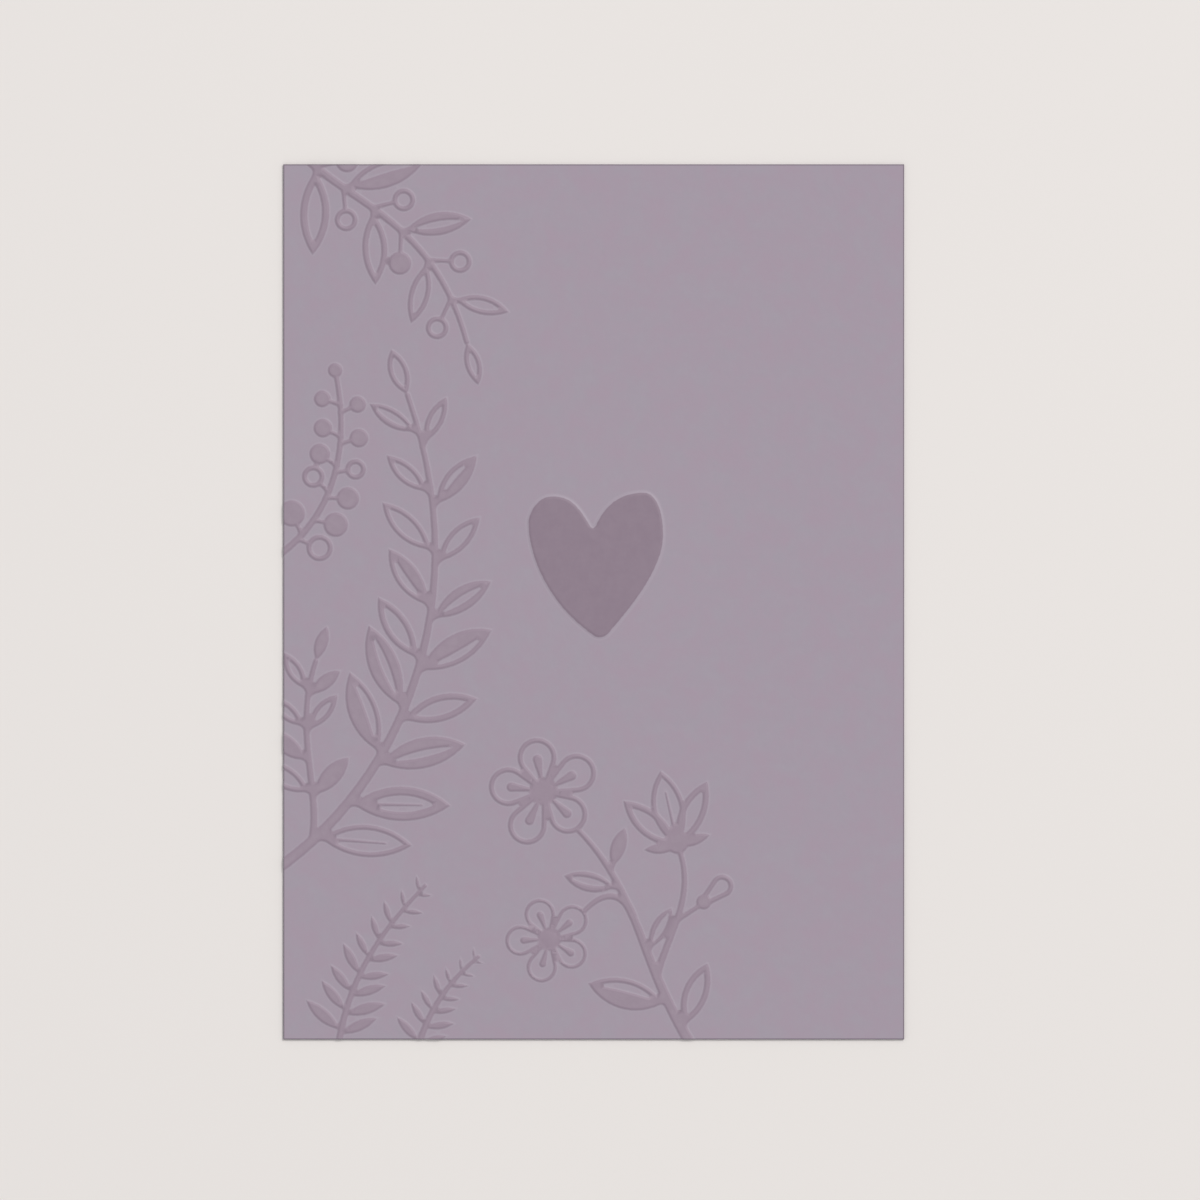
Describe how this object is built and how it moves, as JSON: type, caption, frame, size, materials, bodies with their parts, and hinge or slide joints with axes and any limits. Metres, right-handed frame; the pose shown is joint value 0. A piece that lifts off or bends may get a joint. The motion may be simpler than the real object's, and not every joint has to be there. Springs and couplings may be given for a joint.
{
  "type": "postcard",
  "caption": "Flat portrait postcard of thick matte card, with plant sprays and a heart embossed on its face.",
  "frame": {"origin": "middle of the sheet, on its back face", "axes": "+X across the picture to the right, +Y up the picture, +Z out of the printed face"},
  "size_m": [0.105, 0.148, 0.0007],
  "materials": {
    "card_stock": "matte, uncoated, mauve grey throughout, with a darker matte field in the heart"
  },
  "bodies": {
    "root": {"card": "card_stock"}
  },
  "joints": []
}
